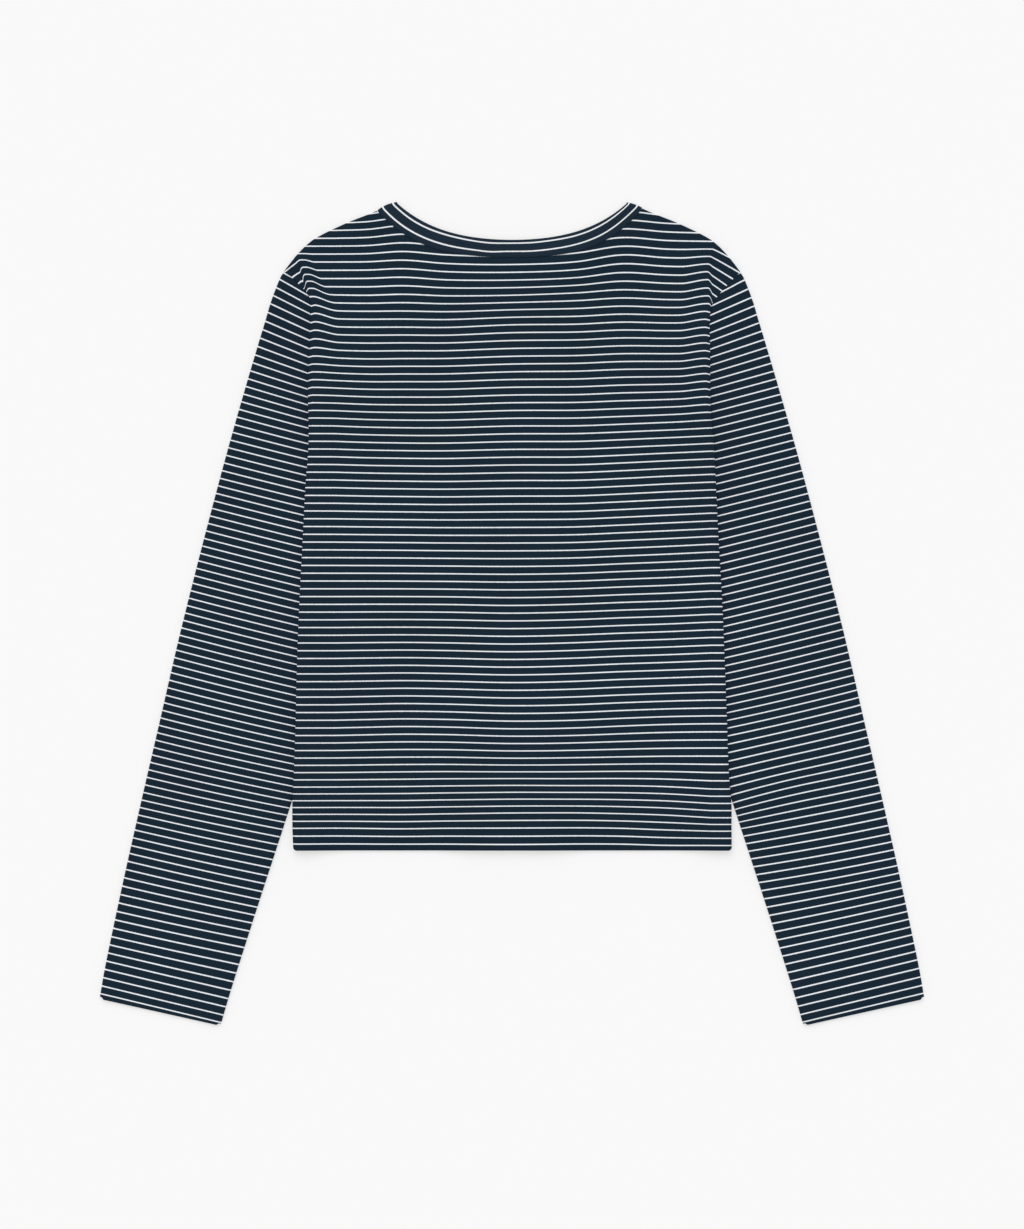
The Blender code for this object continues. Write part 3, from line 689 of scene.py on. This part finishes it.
SLEEVE_STRIPES = {
    # (number, height where it passes the reference x, slope outwards, sag of its
    # middle), height and sag in millimetres, read from the photograph as the body's are
    -1: (
        (94, 287.0, 0.53, 0.0), (93, 278.4, 0.53, 0.0), (92, 271.3, 0.57, 0.0),
        (91, 263.3, 0.53, 0.0), (89, 248.4, 0.47, 0.0), (87, 232.8, 0.43, 0.0),
        (85, 218.0, 0.39, 0.0), (83, 203.7, 0.35, 0.0), (80, 183.5, 0.304, 0.1),
        (76, 157.7, 0.267, 0.2), (72, 131.6, 0.247, 0.3), (67, 98.3, 0.245, 0.3),
        (59, 45.7, 0.247, 0.4), (51, -6.3, 0.247, 0.5), (43, -57.8, 0.246, 0.6),
        (35, -108.6, 0.232, 0.8), (28, -151.9, 0.219, 0.7), (24, -176.7, 0.209, 0.6),
        (20, -203.2, 0.215, 0.6), (16, -231.6, 0.227, 0.5), (13, -251.9, 0.219, 0.5),
        (10, -272.8, 0.213, 0.5), (7, -295.2, 0.218, 0.4), (4, -318.7, 0.236, 0.2),
        (1, -340.6, 0.24, 0.1), (-1, -353.7, 0.24, 0.0),
    ),
    1: (
        (93, 287.0, 0.53, 0.0), (92, 278.6, 0.56, 0.0), (91, 271.0, 0.52, 0.0),
        (90, 262.6, 0.459, 0.0), (89, 254.7, 0.432, 0.0), (87, 239.5, 0.394, 0.0),
        (84, 218.0, 0.328, 0.0), (80, 191.2, 0.274, 0.1), (76, 164.9, 0.247, 0.2),
        (72, 138.3, 0.245, 0.3), (64, 85.1, 0.245, 0.4), (56, 32.5, 0.245, 0.6),
        (48, -19.5, 0.238, 0.7), (40, -71.7, 0.232, 0.8), (36, -97.2, 0.230, 0.9),
        (30, -137.0, 0.212, 1.0), (28, -149.1, 0.198, 0.8), (24, -174.9, 0.190, 1.0),
        (20, -202.1, 0.180, 0.9), (16, -229.7, 0.183, 0.8), (13, -251.9, 0.207, 0.6),
        (10, -273.8, 0.220, 0.5), (7, -295.5, 0.232, 0.4), (4, -318.2, 0.24, 0.2),
        (1, -340.2, 0.24, 0.1), (-1, -353.4, 0.24, 0.0),
    ),
}
# At the right elbow the stripes also droop towards the inner fold.
DROOPS = ((20, 0.0), (24, 1.0), (28, 4.6), (30, 3.0), (36, 0.0))    # (number, droop in mm)
DROOP_START = 0.45                      # share of the way to the inner fold
DROOP_POWER = 1.8


def sleeve_folds(v):
    """Both folded edges in plan at a share of the way from cuff to armhole."""
    knots = np.arange(len(SLEEVE_FOLDS))
    place = v * (len(SLEEVE_FOLDS) - 1)
    edges = [flowing(knots, column_of(SLEEVE_FOLDS, n), place) for n in range(4)]
    return edges[:2], edges[2:]


def fold_normals(v):
    """Unit vectors in plan that point out of the sleeve at its two folds."""
    step = 0.01
    lower, upper = sleeve_folds(np.maximum(v - step, 0.0)), sleeve_folds(np.minimum(v + step, 1.0))
    normals = []
    for (ax, ay), (bx, by), turn in zip(lower, upper, (1, -1)):
        length = turn * np.hypot(bx - ax, by - ay)
        normals.append(((by - ay) / length, (ax - bx) / length))
    return normals


def mouth_point(side, share):
    """The sleeve's mouth in plan, from the shoulder tip to the underarm."""
    steps = np.linspace(0.0, 1.0, len(MOUTH_HEIGHTS))
    y = np.interp(share, steps, np.array(MOUTH_HEIGHTS) * MM)
    inwards = SEAM_LAP * smooth_step((TIP_Y - y) / LAP_EASE) + TUCK * tucked(y)
    inwards = inwards + UNDERARM_TUCK * smooth_step(1.0 - (y - UNDERARM_Y) / UNDERARM_REACH)
    return side_edge(side * np.ones_like(y), y) - inwards, y


def sleeve_plan(side, share, v):
    """A point in plan of a sleeve's layers: share runs from outer to inner fold.

    Near the armhole the rows follow its curve, further down they are straight.
    """
    outer, inner = sleeve_folds(v)
    one = np.ones_like(share)
    tip, underarm = mouth_point(side, 0 * one), mouth_point(side, one)
    mouth = mouth_point(side, share)
    curving = smooth_step((v - HEAD_START) / HEAD_START)
    near_inner = share ** INNER_SWAY
    point = []
    for axis in (0, 1):
        straight = outer[axis] + share * (inner[axis] - outer[axis])
        from_tip, from_underarm = outer[axis] - tip[axis], inner[axis] - underarm[axis]
        curved = mouth[axis] + from_tip + near_inner * (from_underarm - from_tip)
        point.append(straight + curving * (curved - straight))
    return point, np.hypot(outer[0] - inner[0], outer[1] - inner[1])


def sleeve_stripe(side, share, x, y):
    """Which stripe of the sleeve passes through a point, with its fraction."""
    table, rows = SLEEVE_STRIPES[side][::-1], []
    drooping = np.clip((share - DROOP_START) / (1.0 - DROOP_START), 0.0, 1.0) ** DROOP_POWER
    for number, height, slope, sag in table:
        droop = np.interp(number, *np.array(DROOPS).T) if side > 0 else 0.0
        bow = 4 * sag * MM * share * (1 - share) + droop * MM * drooping
        rows.append(height * MM + slope * (x - STRIPE_REFERENCE_X) - bow)
    return number_at(y, rows, [row[0] for row in table])


def sleeve_sheet(name, side):
    # one round of the tube: upper layer, inner fold, lower layer, outer fold
    stations = [(step / SLEEVE_COLUMNS, 0.0) for step in range(SLEEVE_COLUMNS + 1)]
    stations += [(1.0, step / TURN_STEPS) for step in range(1, TURN_STEPS)]
    stations += [(1.0 - share, 1.0) for share, _ in stations[:SLEEVE_COLUMNS + 1]]
    stations += [(0.0, 1.0 + step / TURN_STEPS) for step in range(1, TURN_STEPS)]
    stations.append((0.0, 2.0))
    stations = np.array(stations)

    def place(s, t):
        share, turn = stations[np.rint(s * (len(stations) - 1)).astype(int)].T
        v = t ** RING_SPREAD
        (x, y), width = sleeve_plan(side, share, v)
        outside = smooth_step((x - side_edge(side * x, y) - CLEAR_OF_BODY[0]) / CLEAR_OF_BODY[1])
        outside = np.where(y < HEM_Y, 1.0, outside)
        to_fold = np.minimum(share, 1.0 - share) * width
        drawn = CUFF_ROUND * (1.0 - np.sqrt(1.0 - np.clip(1.0 - to_fold / CUFF_ROUND, 0.0, 1.0) ** 2))
        drawn = drawn * np.clip(1.0 - v * SLEEVE_LENGTH / (4 * CUFF_ROUND), 0.0, 1.0)
        x, y = x + CUFF_DIRECTION[0] * drawn, y + CUFF_DIRECTION[1] * drawn
        puff = SLEEVE_PUFF * np.exp(-((to_fold / PUFF_WIDTH) ** 2))
        puff = puff + RIPPLE_SHARE * ripple(x, y, 4.1 * side) * smooth_step(to_fold / RIPPLE_EDGE)
        puff = puff * outside
        half = FOLD_RADIUS + np.abs(puff) / 2
        z = WALL / 2 + half * (1.0 + np.cos(math.pi * turn))
        to_mouth = smooth_step((v - MOUTH_DIP_START) / (1.0 - MOUTH_DIP_START))
        z = z - to_mouth * MOUTH_DIP * np.cos(math.pi * turn) * (y > UNDERARM_Y)
        inset = np.where((share == 0.0) | (share == 1.0), half + WALL / 2, 0.0)
        reach = half * np.abs(np.sin(math.pi * turn)) * (inset > 0) - inset
        outer, inner = fold_normals(v)
        x = x + reach * np.where(share > 0.5, inner[0], outer[0])
        y = y + reach * np.where(share > 0.5, inner[1], outer[1])
        across = np.where(turn < 1, share - 0.5, 1.5 - share) * width
        return side * x, y, z, across / MM, sleeve_stripe(side, share, x, y)

    return cloth_sheet(
        name, len(stations) - 1, SLEEVE_ROWS, (0.27, SLEEVE_LENGTH), place, body_jersey, closed=True
    )


for side, name in ((1, "sleeve_right"), (-1, "sleeve_left")):
    sleeve = sleeve_sheet(name + "_tube", side)
    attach(sleeve, "root")
    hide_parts(name)

# ---- neckband ---------------------------------------------------------------
# One strip of the same jersey, cut along the stripes so that two white lines run
# round it, folded double and seamed to the neck. It turns over at both shoulders,
# and its ends overlap at the centre front with the front bands.
BAND_NAVY = (0.0118, 0.0250, 0.0410)    # a lighter navy than the body's, for the same yarn
BAND_WHITE = (0.95, 0.97, 0.99)
band_jersey = jersey("banded jersey", BAND_NAVY, BAND_WHITE)
NECK_STEPS = 26                         # rows along a quarter of the neck
FOLD_ANGLES = (30, 60, 90, 120, 150)    # rows round each shoulder fold, in degrees
FOLD_LEAN = 0.4                         # the fold's bulge points up and this much outwards
BAND_LINES = (
    # (x in millimetres, where the two lines lie there as shares of the band's width)
    (-94.0, 0.190, 0.705), (-83.0, 0.208, 0.698), (-72.0, 0.205, 0.687),
    (-55.0, 0.184, 0.679), (-42.0, 0.184, 0.679), (-30.0, 0.203, 0.687),
    (-18.0, 0.222, 0.718), (-6.0, 0.200, 0.672), (19.0, 0.195, 0.672), (32.0, 0.182, 0.650),
    (55.0, 0.198, 0.640), (72.0, 0.188, 0.643), (84.0, 0.165, 0.632), (94.0, 0.145, 0.625),
    (104.0, 0.130, 0.665),
)
TIP_BULGE = {-1: 2.1, 1: 1.2}           # the folded tips stand out past the shoulder, in mm
TIP_BULGE_ROWS = 2.4                    # and the rows beside them less and less
TIP_BULGE_DIRECTION = (0.5, 0.85)
BAND_CROWN = 0.4 * MM                   # the folded strip is a little fuller in its middle


def neck_rows(side):
    """One side's rows, from the front end round to the back's middle.

    Each is the band's edge and its seam in plan, and how far it has turned over.
    """
    edge_end, seam_end = (
        (curve["end_x"], curve_height(curve, curve["end_x"]))
        for curve in (NECK_EDGE, NECK_SEAM[side])
    )
    rows = []
    for step in range(-3, NECK_STEPS + 1):
        row = []
        for (end_x, end_y), low in ((edge_end, FRONT_NECK_Y), (seam_end, FRONT_SEAM_Y)):
            angle = ellipse_angle(max(step, 0) / NECK_STEPS, end_x) * (1 + 2 * min(step, 0) / 3)
            row += [end_x * math.sin(angle), end_y - (end_y - low) * math.cos(angle)]
        rows.append((*row, 0.0))
    for degrees in FOLD_ANGLES:
        out = FOLD_RADIUS * math.sin(math.radians(degrees))
        row = []
        for x, y in (edge_end, seam_end):
            row += [x + FOLD_LEAN * out, y + out]
        rows.append((*row, math.radians(degrees)))
    for step in range(NECK_STEPS + 1):
        row = []
        for curve in (NECK_EDGE, NECK_SEAM[side]):
            x = curve["end_x"] * (1.0 - step / NECK_STEPS)
            row += [x, curve_height(curve, x)]
        rows.append((*row, math.pi))
    return rows


TIP_ROW = 3 + NECK_STEPS + 1 + len(FOLD_ANGLES) // 2
band_rows = [(row, 1) for row in neck_rows(1)] + [(row, -1) for row in neck_rows(-1)[-2::-1]]
band_middle = np.array([((row[0] + row[2]) * side, row[1] + row[3]) for row, side in band_rows]) / 2
band_length = np.append(0.0, np.cumsum(np.hypot(*np.diff(band_middle, axis=0).T)))


def band_point(number, share):
    """A point of one of the band's rows, with its place in the weave."""
    (edge_x, edge_y, seam_x, seam_y, turned), side = band_rows[number]
    x = edge_x + (seam_x - edge_x) * share
    y = edge_y + (seam_y - edge_y) * share
    if turned == 0.0:
        z = WALL / 2 + float(front_lift(side, x, y))
    elif turned == math.pi:
        z = float(back_height(np.array([x * side]), np.array([y]))[0])
        z += BAND_CROWN * math.sin(math.pi * share) ** 0.6
    else:
        z = WALL / 2 + FOLD_RADIUS * (1.0 - math.cos(turned))
    from_tip = min(number, len(band_rows) - 1 - number) - TIP_ROW
    bulge = TIP_BULGE[side] * MM * math.exp(-((from_tip / TIP_BULGE_ROWS) ** 2))
    bulge *= 0.45 + 0.55 * math.sin(math.pi * share)    # most in the middle of its width
    x, y = x + TIP_BULGE_DIRECTION[0] * bulge, y + TIP_BULGE_DIRECTION[1] * bulge
    columns = np.array(BAND_LINES).T
    first, second = (float(flowing(columns[0], columns[n], x * side / MM)) for n in (1, 2))
    line = (share - first) / (second - first)
    return np.array([side * x, y, z, band_length[number] / MM, line])


def neckband_place(s, t):
    points = []
    for share, place in zip(s, t * (len(band_rows) - 1)):
        low = min(int(place), len(band_rows) - 2)
        below, above = band_point(low, share), band_point(low + 1, share)
        points.append(below + (place - low) * (above - below))
    return np.array(points).T


neckband = cloth_sheet(
    "neckband_strip", 12, len(band_rows) + 3, (0.0145, 0.58), neckband_place, band_jersey
)
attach(neckband, "root")
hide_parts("neckband")

# ---- buttonhole band and button band ----------------------------------------
# Two straight strips of the jersey down the centre front, with two white lines along
# them. The wearer's right one is on the outside and has a slit for each button below
# the neckband; the buttons are sewn to the left one, which lies behind it.
BUTTON_HEIGHTS = np.linspace(250.0, -170.0, 7) * MM
FIRST_LINE = 4.0 * MM                   # from the strip's left edge
LINE_PITCH = 7.0 * MM
SLIT_LENGTH = 13.0 * MM
SLIT_WIDTH = 0.9 * MM


def slit_opening(y):
    """Half the width of the eye-shaped slit at a height, nothing between the slits."""
    from_slit = np.abs(y[:, None] - BUTTON_HEIGHTS[None, 1:]).min(axis=1)
    return SLIT_WIDTH / 2 * np.sqrt(np.clip(1.0 - (2 * from_slit / SLIT_LENGTH) ** 2, 0.0, 1.0))


def front_band(name, lift, slits):
    def place(s, t):
        x = (2 * s - 1) * BAND_HALF_WIDTH
        y = HEM_Y + (FRONT_SEAM_Y - HEM_Y) * t
        if slits:                       # the two middle columns stand close beside the slits
            beside = np.abs(x) < 1.0 * MM
            x = np.where(beside, np.sign(x) * (0.06 * MM + slit_opening(y)), x)
        z = WALL / 2 + lift + 0 * s
        return x, y, z, y / MM, (x + BAND_HALF_WIDTH - FIRST_LINE) / LINE_PITCH

    strip = cloth_sheet(name, 15, 300, (0.015, 0.436), place, band_jersey)
    if slits:
        bm = bmesh.new()
        bm.from_mesh(strip.data)
        opened = []
        for face in bm.faces:
            centre = face.calc_center_median()
            if abs(centre.x) < 0.05 * MM and slit_opening(np.array([centre.y]))[0] > 0.0:
                opened.append(face)
        bmesh.ops.delete(bm, geom=opened, context="FACES")
        bm.to_mesh(strip.data)
        bm.free()
    return strip


FRONT_BANDS = (("buttonhole_band", BUTTON_LIFT), ("button_band", INNER_BAND_LIFT))
for name, lift in FRONT_BANDS:
    strip = front_band(name + "_strip", lift, name == "buttonhole_band")
    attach(strip, "root")
    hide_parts(name)



def two_toned(name, pattern, inputs, darker, lighter, roughness, **settings):
    """A material that varies between two shades, by a texture on Object coordinates."""
    made = bpy.data.materials.new(name)
    made.use_nodes = True
    tree, shader = made.node_tree, made.node_tree.nodes["Principled BSDF"]
    pattern = add_node(tree, pattern, (add_node(tree, "TexCoord").outputs["Object"],), **settings)
    for key, value in inputs.items():
        pattern.inputs[key].default_value = value
    tone = add_node(tree, "MixRGB", (pattern.outputs["Fac"], (*darker, 1.0), (*lighter, 1.0)))
    tree.links.new(tone.outputs[0], shader.inputs["Base Color"])
    shader.inputs["Roughness"].default_value = roughness
    return made, shader


# Sewing thread in navy, twisted from fine plies.
thread_material, thread_shader = two_toned(
    "navy thread", "TexWave", {"Scale": 900.0}, (0.006, 0.012, 0.022), (0.014, 0.027, 0.045), 0.7,
    bands_direction="DIAGONAL",
)
thread_shader.inputs["Specular IOR Level"].default_value = 0.2
THREAD_RADIUS = 0.17 * MM


def add_thread(bm, start, end, radius=THREAD_RADIUS, sides=6):
    """A short straight length of thread."""
    start, end = mathutils.Vector(start), mathutils.Vector(end)
    turn = (end - start).to_track_quat("Z", "Y").to_matrix().to_4x4()
    bmesh.ops.create_cone(
        bm, cap_ends=True, segments=sides, radius1=radius, radius2=radius,
        depth=(end - start).length, matrix=mathutils.Matrix.Translation((start + end) / 2) @ turn,
    )


def thread_object(name, bm):
    made = placed_object(name, bm)
    made.data.materials.append(thread_material)
    made.data.shade_smooth()
    made.data.set_sharp_from_angle(angle=math.radians(50))
    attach(made, "root")


# A line of stitches along both edges of each band, on its outer face, and a closely
# stitched edge round each slit, on both faces.
STITCH_PITCH = 2.6 * MM
EDGE_TO_STITCHES = 1.4 * MM
RING_STITCHES = 44
RING_START = 0.1 * MM                   # from the slit's edge
RING_WIDTH = 0.9 * MM
for name, lift in FRONT_BANDS:
    bm = bmesh.new()
    outer_face = lift - 0.3 * THREAD_RADIUS
    for number in range(int((FRONT_SEAM_Y - HEM_Y) / STITCH_PITCH) - 1):
        y = HEM_Y + (number + 0.8) * STITCH_PITCH
        for x in (EDGE_TO_STITCHES - BAND_HALF_WIDTH, BAND_HALF_WIDTH - EDGE_TO_STITCHES):
            add_thread(bm, (x, y, outer_face), (x, y + 0.7 * STITCH_PITCH, outer_face))
    if name == "buttonhole_band":
        for middle in BUTTON_HEIGHTS:
            for number in range(RING_STITCHES):
                angle = 2 * math.pi * number / RING_STITCHES
                across, along = math.sin(angle), math.cos(angle)
                near = (
                    across * (SLIT_WIDTH / 2 + RING_START), along * (SLIT_LENGTH / 2 + RING_START)
                )
                far = (near[0] + across * RING_WIDTH, near[1] + along * RING_WIDTH)
                for z in (lift, lift + WALL):
                    add_thread(bm, (near[0], middle + near[1], z), (far[0], middle + far[1], z))
    thread_object(name + "_stitches", bm)

# ---- buttons ----------------------------------------------------------------
# Seven plain round buttons of dark navy plastic, face down on the floor, with a raised
# rim round a sunk middle and four holes, sewn through the slits with a shank of thread.
BUTTON_PROFILE = (
    # (radius, height above the floor) in millimetres, from the face's middle round the
    # rim to the middle of the back
    (0.0, 0.50), (2.6, 0.48), (3.1, 0.40), (3.5, 0.15), (3.9, 0.03), (4.4, 0.0), (4.9, 0.08),
    (5.3, 0.32), (5.5, 0.72), (5.45, 1.05), (5.15, 1.38), (4.6, 1.56), (4.0, 1.6), (0.0, 1.6),
)
HOLE_RADIUS = 0.55 * MM
HOLE_OFFSET = 1.05 * MM                 # of each hole from the button's two middle lines
SHANK_RADIUS = 0.65 * MM
THREAD_APART = 0.38 * MM                # the two lengths of thread through each pair of holes
THREAD_DEPTH = 0.36 * MM                # of the bars above the floor, in the sunk middle

plastic, _ = two_toned(
    "navy plastic", "TexNoise", {"Scale": 260.0, "Distortion": 1.5},
    (0.009, 0.013, 0.021), (0.016, 0.021, 0.031), 0.32,
)

bm = bmesh.new()
chain = [bm.verts.new((radius * MM, 0.0, height * MM)) for radius, height in BUTTON_PROFILE]
edges = [bm.edges.new(pair) for pair in zip(chain, chain[1:])]
bmesh.ops.spin(
    bm, geom=chain + edges, axis=(0.0, 0.0, 1.0), cent=(0.0, 0.0, 0.0), angle=2 * math.pi,
    steps=56, use_merge=True,
)
bmesh.ops.remove_doubles(bm, verts=bm.verts, dist=0.001 * MM)
bmesh.ops.recalc_face_normals(bm, faces=bm.faces)
turned = placed_object("turned button", bm)
bm = bmesh.new()
for across in (-HOLE_OFFSET, HOLE_OFFSET):
    for along in (-HOLE_OFFSET, HOLE_OFFSET):
        bmesh.ops.create_cone(
            bm, cap_ends=True, segments=20, radius1=HOLE_RADIUS, radius2=HOLE_RADIUS,
            depth=4 * MM, matrix=mathutils.Matrix.Translation((across, along, 1.0 * MM)),
        )
drills = placed_object("drills", bm)
drilling = turned.modifiers.new("holes", "BOOLEAN")
drilling.operation = "DIFFERENCE"
drilling.object = drills
bpy.context.view_layer.update()
drilled = bpy.data.meshes.new_from_object(turned.evaluated_get(bpy.context.evaluated_depsgraph_get()))
bpy.data.objects.remove(turned)
bpy.data.objects.remove(drills)
drilled.materials.append(plastic)
drilled.shade_smooth()
drilled.set_sharp_from_angle(angle=math.radians(40))

for number, y in enumerate(BUTTON_HEIGHTS, 1):
    mesh = drilled.copy()
    mesh.transform(mathutils.Matrix.Translation((0.0, y, 0.0)))
    button = bpy.data.objects.new(f"button_{number}_plastic", mesh)
    bpy.context.collection.objects.link(button)
    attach(button, "root")
    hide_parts(f"button_{number}")

    # two bars of thread across the face, down through the holes and round as a shank
    bm = bmesh.new()
    sewn_on = INNER_BAND_LIFT + WALL
    for across in (-HOLE_OFFSET, HOLE_OFFSET):
        for beside in (-THREAD_APART / 2, THREAD_APART / 2):
            x = across + beside
            ends = [(x, y + along, THREAD_DEPTH) for along in (-HOLE_OFFSET, HOLE_OFFSET)]
            add_thread(bm, *ends)
            for end in ends:
                inside = (end[0], end[1], BUTTON_THICKNESS)
                add_thread(bm, end, inside)
                add_thread(bm, inside, (0.3 * x, y + 0.3 * (end[1] - y), BUTTON_THICKNESS + 0.5 * MM))
            add_thread(bm, (x, y - 1.1 * MM, sewn_on), (x, y + 1.1 * MM, sewn_on))
    add_thread(bm, (0.0, y, BUTTON_THICKNESS + 0.1 * MM), (0.0, y, sewn_on), SHANK_RADIUS, 16)
    thread_object(f"button_{number}_thread", bm)
